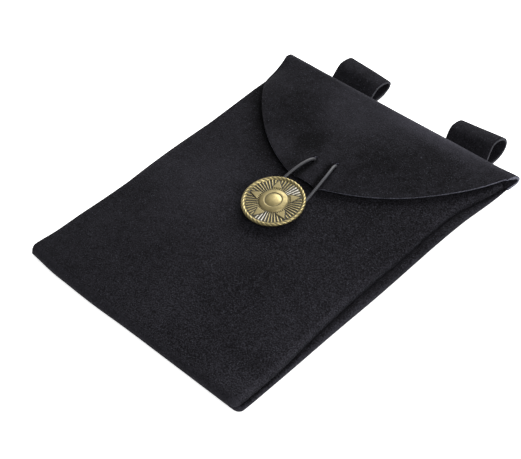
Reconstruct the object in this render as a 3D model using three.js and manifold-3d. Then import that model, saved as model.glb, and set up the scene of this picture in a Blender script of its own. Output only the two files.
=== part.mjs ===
// A small belt pouch of black suede, lying on its back with its flap closed.
// Suede makes the front panel with the bottom fold, the back panel, and the flap with the top fold. A cord
// loop on the flap hooks under a cast brass button, and two straps behind the top fold take a belt.
// Millimetres. X runs across the pouch, Y from its bottom fold to its top fold, Z up from the table.
import * as THREE from 'three';
import Module from 'manifold-3d';
import { mergeVertices } from 'three/addons/utils/BufferGeometryUtils.js';

const wasm = await Module();
wasm.setup();

// Pocket
const WIDTH = 130;
const LENGTH = 165;
const LEATHER = 1.4;
const CLEARANCE = 0.3;
const WAIST = 0.8; // how far each side pulls in at half its length
const CORNER_ROUND = 4;
const BOTTOM_ROLL = 3.3; // outer radius of the bottom fold
const MOUTH = 156; // top edge of the front panel, under the flap
const BACK_END = 150; // where the back panel meets the flap's suede
const BACK_START = 5.5; // where the back panel meets the bottom fold
const SEAM_INSET = 4.5; // how far inside the back panel's lip the front panel is sewn, at most
const SEAM_INSET_LEAST = 1.6;
const SEAM_POWER = 1.6; // how fast the inset dies away towards both ends
const SEAM_DEPTH = 0.9;
const FRONT_ROLL_SHARE = 0.38; // radii and heights at the seam, as shares of the side's thickness
const SEAM_SHARE = 0.42;
const LIP_SHARE = { low: 0.36, high: 0.6 }; // the lip is low where the inset is least
const LEDGE_INSET = 0.45; // shares of the inset and of the lip's radius, from the side in to the ledge
const LEDGE_ROLL = 0.6;
const CROWN_POWER = 2.4;
const SWELLS_FROM = 20; // the front panel is taut below this

// Height of the front panel's outside above the table, along the middle and beside the seams
const FRONT_HEIGHTS = [
  { y: BOTTOM_ROLL, middle: 6.6, side: 6.6 },
  { y: 25, middle: 8.9, side: 6.9 },
  { y: 60, middle: 10.1, side: 7.1 },
  { y: 86, middle: 10.4, side: 7.4 },
  { y: 112, middle: 10.8, side: 8.2 },
  { y: 136, middle: 11.2, side: 9.6 },
  { y: MOUTH, middle: 11.2, side: 9.9 },
];

// Soft swells and dents of the front panel
const FRONT_SWELLS = [
  { x: -30, y: 77, reach: 26, rise: 0.5 },
  { x: 28, y: 50, reach: 26, rise: 0.5 },
  { x: 12, y: 68, reach: 14, rise: -0.3 },
  { x: -20, y: 36, reach: 20, rise: -0.4 },
  { x: 1, y: 84, reach: 15, rise: -0.5 },
];

// Top fold and flap
const FOLD_DEPTH = 5;
const FLAP_HALF = 66.4; // half the width of the suede at the top fold
const FLAP_SHIFT = 0.6; // the fold lies this far to the right of the pocket's middle
const FLAP_LENGTH = 62.2;
const TIP_HALF = 8.5;
// Each curved side begins this far out from the flap's middle and this far below the top fold
const FLAP_SIDES = {
  left: { half: 66.4, corner: 15, arc: 99.6 },
  right: { half: 65, corner: 6, arc: 100 },
};
const FLAP_GAP = 0.5; // least air between the flap and the front panel
const FLAP_RISE = 28; // length over which the flap rises to the crest of the top fold
const FOLD_CREST = [
  { x: -FLAP_HALF, z: 12.9 },
  { x: 0, z: 13.2 },
  { x: FLAP_HALF, z: 13.1 },
];
const FOLD_LIFT = { left: 0.8, right: 2.2, reach: 30 }; // how far the fold's underside lifts at its ends

// Where the flap stands off the front panel
const FLAP_SWELLS = [
  { x: 0, y: 116, reach: 18, rise: 1.6 },
  { x: -47, y: 134, reach: 20, rise: 1.6 },
  { x: 22, y: 143, reach: 26, rise: 1.1 },
  { x: 45, y: 138, reach: 16, rise: 0.5 },
];

// Belt loops: a strap lies along the table, turns over and comes back down to where it is sewn
const LOOPS = [
  { name: 'belt_loop_left', x: -33, top: 8.8 },
  { name: 'belt_loop_right', x: 36.5, top: 10.4 },
];
const LOOP_WIDTH = 23.4;
const LOOP_LEATHER = 1.3;
const LOOP_SEWN = 128; // where both ends of a strap are sewn to the back panel
const LOOP_PARTS = 159.5; // where the upper run leaves the lower one
const LOOP_CROWN = 177;
const LOOP_LIES = 175; // the lower run lies flat up to here
const LOOP_BEND = 10.6; // reach of the turn's handles, and of the rise to the crown
const LOOP_CLIMB = 9;
const LOOP_LOW = LOOP_LEATHER / 2;
const LOOP_HIGH = LOOP_LOW + LOOP_LEATHER + CLEARANCE;
const RAISE = LOOP_HIGH + LOOP_LEATHER / 2 + CLEARANCE; // the straps lift the top end by this
const RAISE_FROM = 70;

// Button: a turned profile, out along the underside and back over the face. Rays are raised on every
// second sector, and a rope twist steps round by a sector from row to row.
const CONCHO_AT = { x: 2.15, y: 83.9, z: 13.5 };
const CONCHO_LEAN_DOWN = 4.1; // degrees, towards the bottom fold and towards the right seam
const CONCHO_LEAN_RIGHT = 3.5;
const CONCHO_SECTORS = 100;
const CONCHO_PROFILE = [
  { radius: 0, height: 0, ray: 0, twist: 0, step: 0 },
  { radius: 13.4, height: 0, ray: 0, twist: 0, step: 0 },
  { radius: 14.3, height: 0.6, ray: 0, twist: 0, step: 0 },
  { radius: 14.3, height: 1.4, ray: 0, twist: 0.2, step: 2 },
  { radius: 13.3, height: 2.1, ray: 0, twist: 0.3, step: 1 },
  { radius: 12.4, height: 1.9, ray: 0, twist: 0.2, step: 0 },
  { radius: 12.1, height: 1.35, ray: 0, twist: 0, step: 0 },
  { radius: 11.8, height: 1.35, ray: 0.35, twist: 0, step: 0 },
  { radius: 6.5, height: 1.45, ray: 0.35, twist: 0, step: 0 },
  { radius: 5.8, height: 2.2, ray: 0, twist: 0, step: 0 },
  { radius: 4.3, height: 2.35, ray: 0, twist: 0, step: 0 },
  { radius: 3.6, height: 2.1, ray: 0, twist: 0, step: 0 },
  { radius: 3.2, height: 2.3, ray: 0, twist: 0, step: 0 },
  { radius: 1.7, height: 3.0, ray: 0, twist: 0, step: 0 },
  { radius: 0, height: 3.2, ray: 0, twist: 0, step: 0 },
];
const DARTS = 5;
const DART_TURN = 50; // degrees from X to the first dart
const DART = { inner: 6.5, outer: 11.5, halfBase: 2.1, teeth: 4, tooth: 0.7, bottom: 1.2, height: 0.85 };

// Hidden post behind the button
const POST_RADIUS = 2;
const POST_HEAD_RADIUS = 5;
const POST_HEAD = 1.2;
const POST_SLACK = 0.9; // room under the front panel for the leaning head

// Closure cord: from under the flap up through a hole, over the tip, round behind the post and back
const CORD_DIAMETER = 1.3;
const CORD_SIDES = 8;
const CORD_STEPS = 56;
const CORD_ROUTE = [
  { x: -3.5, y: 119.9, z: 12 },
  { x: -3.5, y: 118.5, z: 12 },
  { x: -3.5, y: 117.1, z: 12.15 },
  { x: -3.5, y: 116, z: 12.7 },
  { x: -3.5, y: 115.2, z: 13.55 },
  { x: -3.6, y: 114.5, z: 14.4 },
  { x: -3.7, y: 113.6, z: 14.95 },
  { x: -3.95, y: 112, z: 15.3 },
  { x: -4.3, y: 109.8, z: 15.45 },
  { x: -4.7, y: 107.2, z: 15.3 },
  { x: -5.1, y: 104.3, z: 14.85 },
  { x: -5.5, y: 101, z: 14.1 },
  { x: -5.9, y: 97.6, z: 13 },
  { x: -6.15, y: 93, z: 12 },
  { x: -5.9, y: 87.5, z: 11.5 },
  { x: -4.5, y: 82, z: 11.3 },
  { x: -1.2, y: 78.1, z: 11.15 },
  { x: 2.8, y: 76.8, z: 11.1 },
  { x: 6.8, y: 78.2, z: 11.1 },
  { x: 9.5, y: 82.2, z: 11.2 },
  { x: 10.6, y: 87, z: 11.4 },
  { x: 10.8, y: 92, z: 11.9 },
  { x: 10.6, y: 96.6, z: 12.9 },
  { x: 10.3, y: 101.4, z: 14.3 },
  { x: 9.85, y: 105.8, z: 15.3 },
  { x: 9.2, y: 109.6, z: 15.8 },
  { x: 8.35, y: 112.9, z: 15.9 },
  { x: 7.5, y: 115.5, z: 15.5 },
  { x: 7, y: 116.95, z: 14.75 },
  { x: 6.7, y: 117.8, z: 13.8 },
  { x: 6.6, y: 118.6, z: 12.9 },
  { x: 6.6, y: 119.8, z: 12.35 },
  { x: 6.6, y: 121.2, z: 12.15 },
  { x: 6.6, y: 122.6, z: 12.15 },
];
const CORD_HOLES = [
  { x: -3.5, y: 115 },
  { x: 6.65, y: 117.8 },
];
const HOLE_HALF = { x: 1.15, y: 2.7 };

const SUEDE = { color: 0x17161b, roughness: 0.95, metalness: 0 };
const CORD_FINISH = { color: 0x2a2a2e, roughness: 0.6, metalness: 0 };
const BRASS = { color: 0x8d7a3e, roughness: 0.4, metalness: 1 };
const STEEL = { color: 0x8a8780, roughness: 0.4, metalness: 1 };

const { smoothstep, degToRad, lerp } = THREE.MathUtils;

// A column of a table as a smooth function through every row
function profile(table, key, column) {
  const places = table.map((row) => row[key]);
  const values = table.map((row) => row[column]);
  const curve = new THREE.CubicInterpolant(places, values, 1);
  return (at) => curve.evaluate(at)[0];
}
const middleHeight = profile(FRONT_HEIGHTS, 'y', 'middle');
const sideHeight = profile(FRONT_HEIGHTS, 'y', 'side');
const foldCrest = profile(FOLD_CREST, 'x', 'z');
const foldLift = (x) => {
  const lift = x < 0 ? FOLD_LIFT.left : FOLD_LIFT.right;
  return lift * smoothstep(Math.abs(x), FLAP_HALF - FOLD_LIFT.reach, FLAP_HALF);
};

function swell(rows, x, y) {
  const bump = (row) => row.rise * Math.exp(-((x - row.x) ** 2 + (y - row.y) ** 2) / row.reach ** 2);
  return rows.reduce((sum, row) => sum + bump(row), 0);
}

const halfWidth = (y) => {
  const short = Math.max(CORNER_ROUND - y, 0);
  const corner = CORNER_ROUND - Math.sqrt(CORNER_ROUND ** 2 - short ** 2);
  return WIDTH / 2 - WAIST * Math.sin((Math.PI * y) / LENGTH) - corner;
};
const seamInset = (y) => SEAM_INSET * Math.sin((Math.PI * y) / LENGTH) ** SEAM_POWER;
const backHeight = (y) => RAISE * smoothstep(y, RAISE_FROM, LOOP_SEWN);

function frontHeight(x, y) {
  const side = sideHeight(y);
  const across = Math.min(Math.abs(x) / (halfWidth(y) - seamInset(y) - BOTTOM_ROLL), 1);
  const soft = (1 - across ** 2) * smoothstep(y, BOTTOM_ROLL, SWELLS_FROM) * swell(FRONT_SWELLS, x, y);
  return side + (middleHeight(y) - side) * (1 - across ** CROWN_POWER) + soft;
}

// Places across the suede, from -1 to 1, close together at the flap's tip and at the sides
const TIP_SHARE = TIP_HALF / FLAP_HALF;
const SIDE_COLUMNS = 8;
const HALF_COLUMNS = [0, TIP_SHARE / 2];
for (let i = 0; i <= SIDE_COLUMNS; i++) {
  HALF_COLUMNS.push(lerp(TIP_SHARE, 1, Math.sin((i / SIDE_COLUMNS) * (Math.PI / 2))));
}
const COLUMNS = [...HALF_COLUMNS.slice(1).reverse().map((s) => -s), ...HALF_COLUMNS];

// Triangles between rings of points, each ring joined to the next
function between(rings) {
  const count = rings[0].length;
  const index = [];
  for (let k = 0; k + 1 < rings.length; k++) {
    for (let i = 0; i < count; i++) {
      const [a, b] = [k * count + i, k * count + ((i + 1) % count)];
      index.push(a, b, b + count, a, b + count, a + count);
    }
  }
  return index;
}

// Closed solid from rings whose first and last have no area
const loft = (rings) => closed(rings.flat(), between(rings));

// Sheet from lines side by side on its outer face, with the same lines on its inner face
function sheet(outer, inner) {
  const rings = outer.map((line, k) => [...line, ...inner[k].toReversed()]);
  const index = between(rings);
  const count = rings[0].length;
  const end = (rings.length - 1) * count;
  for (let i = 0; i + 1 < count / 2; i++) {
    const [a, b, c, d] = [i, i + 1, count - 2 - i, count - 1 - i];
    index.push(a, c, b, a, d, c);
    index.push(end + a, end + b, end + c, end + a, end + c, end + d);
  }
  return closed(rings.flat(), index);
}

// Geometry with its equal points merged and its flat triangles left out
function closed(points, index) {
  const geometry = new THREE.BufferGeometry().setFromPoints(points);
  geometry.setIndex(index);
  const merged = mergeVertices(geometry, 1e-3);
  const old = merged.index.array;
  const kept = [];
  for (let i = 0; i < old.length; i += 3) {
    const [a, b, c] = old.slice(i, i + 3);
    if (a !== b && b !== c && c !== a) kept.push(a, b, c);
  }
  merged.setIndex(kept);
  merged.computeVertexNormals();
  return merged;
}

function toSolid(geometry) {
  const bare = geometry.clone();
  bare.deleteAttribute('normal');
  bare.deleteAttribute('uv');
  const merged = mergeVertices(bare, 1e-4);
  const vertProperties = new Float32Array(merged.attributes.position.array);
  const triVerts = new Uint32Array(merged.index.array);
  return new wasm.Manifold(new wasm.Mesh({ numProp: 3, vertProperties, triVerts }));
}

function toGeometry(solid) {
  const mesh = solid.getMesh();
  const geometry = new THREE.BufferGeometry();
  geometry.setAttribute('position', new THREE.BufferAttribute(mesh.vertProperties, 3));
  geometry.setIndex(new THREE.BufferAttribute(mesh.triVerts, 1));
  geometry.computeVertexNormals();
  return geometry;
}

function piece(name, geometry, finish) {
  const mesh = new THREE.Mesh(geometry, new THREE.MeshStandardMaterial(finish));
  mesh.name = name;
  return mesh;
}

// Upright round or oval cutter between two heights
const ROUND_SIDES = 16;
function cutter(halfX, halfY, low, high) {
  const geometry = new THREE.CylinderGeometry(1, 1, high - low, ROUND_SIDES);
  return geometry.rotateX(Math.PI / 2).scale(halfX, halfY, 1).translate(0, 0, (low + high) / 2);
}

// The button leans, and its post and the hole for it lean with it
const buttonPlace = new THREE.Matrix4()
  .makeRotationFromEuler(new THREE.Euler(degToRad(CONCHO_LEAN_DOWN), degToRad(CONCHO_LEAN_RIGHT), 0))
  .setPosition(CONCHO_AT.x, CONCHO_AT.y, CONCHO_AT.z);
const frontUnderButton = frontHeight(CONCHO_AT.x, CONCHO_AT.y) - CONCHO_AT.z;

// The pocket's section at one place along it, between the heights of its outside at the sides. Shapes at
// the seam are smaller where the bottom fold makes the section thin.
function section(y, low, high) {
  const thick = high - low;
  const full = Math.min(thick / (2 * BOTTOM_ROLL), 1);
  const half = halfWidth(y);
  const inset = full * Math.max(seamInset(y), SEAM_INSET_LEAST);
  const lipShare = lerp(LIP_SHARE.low, LIP_SHARE.high, smoothstep(inset, SEAM_INSET_LEAST, SEAM_INSET));
  const frontRoll = FRONT_ROLL_SHARE * thick;
  const lip = (lipShare * thick) / 2;
  const groove = half - inset - full * SEAM_DEPTH;
  const seam = low + SEAM_SHARE * thick;
  const gap = (full * CLEARANCE) / 2;
  return { y, low, high, half, inset, frontRoll, lip, groove, seam, gap };
}
const openSection = (y) => section(y, backHeight(y), sideHeight(y));

// The right side of each panel in a section, as points from the panel out to its edge. Inside, where wall
// is the leather's thickness, the seam allowance fills the lip.
const FRONT_ROLL_TURNS = [60, 30, 0, -30];
const LIP_TURNS = [-65, -35, 0, 40, 75];
const round = (turns, x, z, r) => turns.map(degToRad).map((a) => [x + r * Math.cos(a), z + r * Math.sin(a)]);
const upright = (x, low, high, count) =>
  Array.from({ length: count }, (_, i) => [x, lerp(low, high, (i + 1) / count)]);

function frontSide(at, wall) {
  const radius = Math.max(at.frontRoll - wall, 0);
  const rolled = round(FRONT_ROLL_TURNS, at.half - at.inset - at.frontRoll, at.high - at.frontRoll, radius);
  const reach = wall ? at.groove - wall : at.half;
  return [...rolled.map(([x, z]) => [Math.min(x, reach), z]), [at.groove - wall, at.seam + at.gap]];
}

function lipSide(at, low, wall) {
  const rolled = round(LIP_TURNS, at.half - at.lip, at.low + at.lip, at.lip);
  return wall ? upright(at.groove - wall, low, rolled.at(-1)[1], rolled.length) : rolled;
}

function backSide(at, wall) {
  const edge = [at.groove, at.seam - at.gap];
  const foot = [at.half - at.inset, Math.min(at.seam - 2 * at.gap, at.low + 2 * at.lip)];
  const ledge = [at.half - LEDGE_INSET * at.inset - LEDGE_ROLL * at.lip, at.low + 2 * at.lip];
  const points = [...lipSide(at, at.low, 0), ledge, foot, edge];
  return wall ? upright(at.groove - wall, at.low + wall, edge[1], points.length) : points;
}

// Line across a panel from its left edge to its right
function lineAcross(y, half, height, side) {
  const point = (x, z) => new THREE.Vector3(x, y, z);
  return [
    ...side.toReversed().map(([x, z]) => point(-x, z)),
    ...COLUMNS.map((s) => point(s * half, height(s * half))),
    ...side.map(([x, z]) => point(x, z)),
  ];
}
function frontLine(at, y, height, wall) {
  const half = Math.min(at.half - at.inset - at.frontRoll, at.groove - wall);
  return lineAcross(y, half, height, frontSide(at, wall));
}
function underLine(at, y, low, wall) {
  const half = wall ? at.groove - wall : at.half - at.lip;
  return lineAcross(y, half, () => low, lipSide(at, low, wall));
}

// Front panel: its lines start behind the bottom fold, go round the fold and up the front to the mouth
const ROLL_TURNS = [20, 40, 60, 80];
const FRONT_ROWS = [BOTTOM_ROLL, 9, 17, 27, 39, 51, 63, 74, 85, 96, 107, 118, 129, 142, MOUTH];
function frontLines(wall) {
  const radius = BOTTOM_ROLL - wall;
  const rolled = (turn) => {
    const [out, rise] = [Math.cos(degToRad(turn)), Math.sin(degToRad(turn))];
    const at = section(BOTTOM_ROLL * (1 - out), BOTTOM_ROLL * (1 - rise), BOTTOM_ROLL * (1 + rise));
    const y = BOTTOM_ROLL - radius * out;
    return { at, y, low: BOTTOM_ROLL - radius * rise, high: BOTTOM_ROLL + radius * rise };
  };
  return [
    ...[BACK_START, BOTTOM_ROLL].map((y) => underLine(openSection(y), y, wall, wall)),
    ...ROLL_TURNS.toReversed().map(rolled).map(({ at, y, low }) => underLine(at, y, low, wall)),
    ...[0, ...ROLL_TURNS].map(rolled).map(({ at, y, high }) => frontLine(at, y, () => high, wall)),
    ...FRONT_ROWS.map((y) => frontLine(openSection(y), y, (x) => frontHeight(x, y) - wall, wall)),
  ];
}
function frontPanel() {
  const hole = POST_RADIUS + CLEARANCE;
  const cut = cutter(hole, hole, frontUnderButton - 2 * LEATHER, frontUnderButton + LEATHER);
  const suede = toSolid(sheet(frontLines(0), frontLines(LEATHER)));
  return toGeometry(suede.subtract(toSolid(cut.applyMatrix4(buttonPlace))));
}

// Back panel: its lines go down from the flap's suede to the bottom fold
const BACK_ROWS = [BACK_END, 129, 118, 107, 96, 85, 74, 51, 27, BACK_START + CLEARANCE];
function backLines(wall) {
  return BACK_ROWS.map(openSection).map((at) => {
    const half = wall ? at.groove - wall : at.half - at.lip;
    return lineAcross(at.y, half, () => at.low + wall, backSide(at, wall));
  });
}
const backPanel = () => sheet(backLines(0), backLines(LEATHER));

// Lower edge of the flap: straight at the tip, an arc on each side
const TIP_Y = LENGTH - FLAP_LENGTH;
function arcCentre({ half, corner, arc }) {
  const cornerY = LENGTH - corner;
  const chord = new THREE.Vector2(half - TIP_HALF, cornerY - TIP_Y);
  const middle = new THREE.Vector2((half + TIP_HALF) / 2, (cornerY + TIP_Y) / 2);
  const offset = Math.sqrt(arc ** 2 - chord.lengthSq() / 4);
  return middle.add(new THREE.Vector2(-chord.y, chord.x).setLength(offset));
}
function flapEdge(x) {
  const side = x < FLAP_SHIFT ? FLAP_SIDES.left : FLAP_SIDES.right;
  const out = Math.min(Math.abs(x - FLAP_SHIFT), side.half);
  if (out <= TIP_HALF) return TIP_Y;
  const centre = arcCentre(side);
  return centre.y - Math.sqrt(side.arc ** 2 - (out - centre.x) ** 2);
}

// Top of the flap: it lies over the front panel and rises to the crest of the top fold
const FOLD_FROM = LENGTH - FOLD_DEPTH;
function flapTop(x, y) {
  const lying = frontHeight(x, Math.min(y, MOUTH)) + FLAP_GAP + swell(FLAP_SWELLS, x, y) + LEATHER;
  return lerp(lying, foldCrest(x), smoothstep(y, FOLD_FROM - FLAP_RISE, FOLD_FROM));
}

// Flap: each line runs from the back panel's edge round the fold and down to the cut edge
const FLAP_START = BACK_END + CLEARANCE;
const FLAP_START_HALF = halfWidth(BACK_END) - openSection(BACK_END).lip;
const FOLD_STEPS = 8;
const FLAP_ROWS = 14;
function flapLine(share, wall) {
  const x = FLAP_SHIFT + share * FLAP_HALF;
  const low = RAISE + foldLift(x);
  const points = [
    new THREE.Vector3(share * FLAP_START_HALF, FLAP_START, RAISE + wall),
    new THREE.Vector3(x, (FLAP_START + FOLD_FROM) / 2, (RAISE + low) / 2 + wall),
  ];
  const rise = (foldCrest(x) - low) / 2;
  for (let i = 0; i <= FOLD_STEPS; i++) {
    const turn = (Math.PI * i) / FOLD_STEPS;
    const y = FOLD_FROM + (FOLD_DEPTH - wall) * Math.sin(turn);
    points.push(new THREE.Vector3(x, y, low + rise - (rise - wall) * Math.cos(turn)));
  }
  for (let i = 1; i <= FLAP_ROWS; i++) {
    const y = lerp(FOLD_FROM, flapEdge(x), i / FLAP_ROWS);
    points.push(new THREE.Vector3(x, y, flapTop(x, y) - wall));
  }
  return points;
}

function flap() {
  const face = (wall) => COLUMNS.map((share) => flapLine(share, wall));
  let suede = toSolid(sheet(face(0), face(LEATHER)));
  for (const { x, y } of CORD_HOLES) {
    const top = flapTop(x, y);
    const cut = cutter(HOLE_HALF.x, HOLE_HALF.y, top - 2 * LEATHER, top + LEATHER);
    suede = suede.subtract(toSolid(cut.translate(x, y, 0)));
  }
  return toGeometry(suede);
}

// Belt loop: the strap's middle line seen from the side, with half the leather on each side of it
const LOOP_STEPS = 44;
function beltLoop(x, top) {
  const crown = top - LOOP_LEATHER / 2;
  const line = new THREE.Path();
  line.moveTo(LOOP_SEWN, LOOP_LOW);
  line.lineTo(LOOP_LIES, LOOP_LOW);
  line.bezierCurveTo(LOOP_LIES + LOOP_BEND, LOOP_LOW, LOOP_CROWN + LOOP_BEND, crown, LOOP_CROWN, crown);
  const [leave, land] = [LOOP_CROWN - LOOP_CLIMB, LOOP_PARTS + LOOP_CLIMB];
  line.bezierCurveTo(leave, crown, land, LOOP_HIGH, LOOP_PARTS, LOOP_HIGH);
  line.lineTo(LOOP_SEWN, LOOP_HIGH);
  const edge = (atX, off) =>
    Array.from({ length: LOOP_STEPS + 1 }, (_, i) => {
      const point = line.getPointAt(i / LOOP_STEPS);
      const tangent = line.getTangentAt(i / LOOP_STEPS);
      return new THREE.Vector3(atX, point.x + off * tangent.y, point.y - off * tangent.x);
    });
  const face = (off) => [x - LOOP_WIDTH / 2, x + LOOP_WIDTH / 2].map((atX) => edge(atX, off));
  return sheet(face(LOOP_LEATHER / 2), face(-LOOP_LEATHER / 2));
}

// Button with its relief, and the darts raised on its field
function dart() {
  const { inner, outer, halfBase, teeth, tooth } = DART;
  const shape = new THREE.Shape();
  shape.moveTo(outer, 0);
  shape.lineTo(inner, halfBase);
  for (let i = 0; i < teeth; i++) {
    const y = halfBase - (2 * halfBase * (i + 0.5)) / teeth;
    shape.lineTo(inner + tooth, y);
    shape.lineTo(inner, y - halfBase / teeth);
  }
  const prism = new THREE.ExtrudeGeometry(shape, { depth: DART.height, bevelEnabled: false });
  prism.translate(0, 0, DART.bottom);
  return prism;
}

function concho() {
  const rings = CONCHO_PROFILE.map((row) =>
    Array.from({ length: CONCHO_SECTORS }, (_, i) => {
      const turn = (2 * Math.PI * (i + row.step)) / CONCHO_SECTORS;
      const z = row.height + (i % 2 ? row.ray + row.twist : 0);
      return new THREE.Vector3(row.radius * Math.cos(turn), row.radius * Math.sin(turn), z);
    }),
  );
  let solid = toSolid(loft(rings));
  for (let k = 0; k < DARTS; k++) {
    const turned = dart().rotateZ(degToRad(DART_TURN) + (2 * Math.PI * k) / DARTS);
    solid = solid.add(toSolid(turned));
  }
  return toGeometry(solid);
}

// Post from just under the button down to a flat head inside the pocket
function post() {
  const head = frontUnderButton - LEATHER - POST_SLACK;
  const outline = new THREE.Path();
  outline.moveTo(0, head - POST_HEAD);
  outline.lineTo(POST_HEAD_RADIUS, head - POST_HEAD);
  outline.lineTo(POST_HEAD_RADIUS, head);
  outline.lineTo(POST_RADIUS, head);
  outline.lineTo(POST_RADIUS, -CLEARANCE);
  outline.lineTo(0, -CLEARANCE);
  const turned = new THREE.LatheGeometry(outline.getPoints(), ROUND_SIDES);
  return toGeometry(toSolid(turned.rotateX(Math.PI / 2)));
}

function cord() {
  const curve = new THREE.CatmullRomCurve3(CORD_ROUTE.map((p) => new THREE.Vector3(p.x, p.y, p.z)));
  const section = new THREE.Shape();
  section.absarc(0, 0, CORD_DIAMETER / 2, 0, 2 * Math.PI);
  const curveSegments = CORD_SIDES / 2; // an arc gets two sides for each segment
  return new THREE.ExtrudeGeometry(section, { steps: CORD_STEPS, curveSegments, extrudePath: curve });
}

const pouch = new THREE.Group();
pouch.add(piece('front_panel', frontPanel(), SUEDE));
pouch.add(piece('back_panel', backPanel(), SUEDE));
pouch.add(piece('flap', flap(), SUEDE));

for (const { name, x, top } of LOOPS) {
  pouch.add(piece(name, beltLoop(x, top), SUEDE));
}

const button = new THREE.Group();
button.applyMatrix4(buttonPlace);
button.add(piece('concho_button', concho(), BRASS));
button.add(piece('concho_post', post(), STEEL));
pouch.add(button);
pouch.add(piece('closure_cord', cord(), CORD_FINISH));

// The origin is on the table, under the middle of the whole width and length
const box = new THREE.Box3().setFromObject(pouch);
pouch.position.set(-(box.min.x + box.max.x) / 2, -(box.min.y + box.max.y) / 2, 0);
const model = new THREE.Group();
model.add(pouch);

export default model;
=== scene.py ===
import math

import bmesh
import bpy
from mathutils import Euler, Matrix, Quaternion, Vector, noise
from mathutils.geometry import interpolate_bezier


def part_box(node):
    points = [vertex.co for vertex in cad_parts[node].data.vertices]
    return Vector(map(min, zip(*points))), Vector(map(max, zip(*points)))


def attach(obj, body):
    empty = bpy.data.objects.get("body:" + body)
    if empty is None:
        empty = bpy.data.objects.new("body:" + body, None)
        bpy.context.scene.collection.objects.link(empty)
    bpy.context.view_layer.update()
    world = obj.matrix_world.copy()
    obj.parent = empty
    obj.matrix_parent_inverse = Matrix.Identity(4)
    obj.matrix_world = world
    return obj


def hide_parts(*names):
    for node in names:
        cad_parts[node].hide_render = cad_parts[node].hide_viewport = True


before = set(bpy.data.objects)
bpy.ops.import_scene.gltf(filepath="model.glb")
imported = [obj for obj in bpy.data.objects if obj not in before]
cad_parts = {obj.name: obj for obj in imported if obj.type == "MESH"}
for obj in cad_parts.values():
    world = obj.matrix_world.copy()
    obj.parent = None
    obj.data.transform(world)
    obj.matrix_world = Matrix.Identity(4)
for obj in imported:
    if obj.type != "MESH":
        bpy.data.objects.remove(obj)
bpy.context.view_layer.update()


# Camera
# A long lens looks down on the pouch from its lower right, about 0.63 m away.
# It is turned a little on its own axis, so that the bottom corner points down in the picture.
MM = 0.001
IMAGE_WIDTH = 521
LENS_PX = 1489.192
SENSOR = 36.0
CAMERA_AZIMUTH = math.radians(49.19)
CAMERA_ELEVATION = math.radians(44.256)
CAMERA_ROLL = math.radians(-5.778)
CAMERA_DISTANCE = 0.63338
CAMERA_NEAR = 0.01
AIM_ON_POUCH = Vector((2.665, 74.6, 5.0))

# Middle of the bottom fold, on the table: the pouch's own sizes are measured from here, in mm
panel_low, panel_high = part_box("front_panel")
POUCH = Vector(((panel_low.x + panel_high.x) / 2, panel_low.y, 0.0))

toward_camera = Vector((
    math.sin(CAMERA_AZIMUTH) * math.cos(CAMERA_ELEVATION),
    -math.cos(CAMERA_AZIMUTH) * math.cos(CAMERA_ELEVATION),
    math.sin(CAMERA_ELEVATION),
))
lens = bpy.data.cameras.new("camera")
lens.sensor_width = SENSOR
lens.lens = LENS_PX * SENSOR / IMAGE_WIDTH
lens.clip_start = CAMERA_NEAR
camera = bpy.data.objects.new("camera", lens)
camera.location = POUCH + AIM_ON_POUCH * MM + toward_camera * CAMERA_DISTANCE
camera.rotation_mode = "QUATERNION"
camera.rotation_quaternion = toward_camera.to_track_quat("Z", "Y") @ Quaternion((0, 0, 1), CAMERA_ROLL)
bpy.context.scene.collection.objects.link(camera)
bpy.context.scene.camera = camera


# Table and light
# A white table top with a glow of its own, painted light that washes out the pouch's shadow on it, in a pale
# room with two large soft lamps.
# One lamp stands behind the top fold, the other to the right of the camera.
TABLE_HALF = 3.0
TABLE_DROP = 0.0002
SHADOW_WASHING_GLOW = 0.7
ROOM_LIGHT = 0.5


def node(tree, kind, **values):
    made = tree.nodes.new(kind)
    for name, value in values.items():
        socket = made.inputs.get(name.replace("_", " "))
        if socket is None:
            setattr(made, name, value)
        elif isinstance(value, bpy.types.NodeSocket):
            tree.links.new(value, socket)
        else:
            socket.default_value = value
    return made


def mix_colour(tree, factor, first, second):
    made = tree.nodes.new("ShaderNodeMix")
    made.data_type = "RGBA"
    tree.links.new(factor, made.inputs["Factor"])
    for value, socket in zip((first, second), made.inputs[6:8]):
        if isinstance(value, bpy.types.NodeSocket):
            tree.links.new(value, socket)
        else:
            socket.default_value = (*value, 1.0)
    return made.outputs[2]


def new_material(name):
    made = bpy.data.materials.new(name)
    made.use_nodes = True
    return made, made.node_tree, made.node_tree.nodes["Principled BSDF"]


def new_piece(name, bm, *materials):
    mesh = bpy.data.meshes.new(name)
    bm.to_mesh(mesh)
    bm.free()
    mesh.polygons.foreach_set("use_smooth", [True] * len(mesh.polygons))
    for material in materials:
        mesh.materials.append(material)
    piece = bpy.data.objects.new(name, mesh)
    bpy.context.scene.collection.objects.link(piece)
    return piece


def area_lamp(name, size, watts, location):
    lamp = bpy.data.lights.new(name, "AREA")
    lamp.size = size
    lamp.energy = watts
    stand = bpy.data.objects.new(name, lamp)
    stand.location = location
    stand.rotation_mode = "QUATERNION"
    stand.rotation_quaternion = Vector(location).to_track_quat("Z", "Y")
    bpy.context.scene.collection.objects.link(stand)


room = bpy.data.worlds.new("room")
room.use_nodes = True
room.node_tree.nodes["Background"].inputs["Color"].default_value = (1.0, 1.0, 1.0, 1.0)
room.node_tree.nodes["Background"].inputs["Strength"].default_value = ROOM_LIGHT
bpy.context.scene.world = room
bpy.context.scene.view_settings.view_transform = "Standard"
area_lamp("lamp_behind", size=0.9, watts=22.0, location=(-0.25, 0.95, 0.75))
area_lamp("lamp_right", size=0.5, watts=8.0, location=(0.85, -0.15, 0.6))

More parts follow.
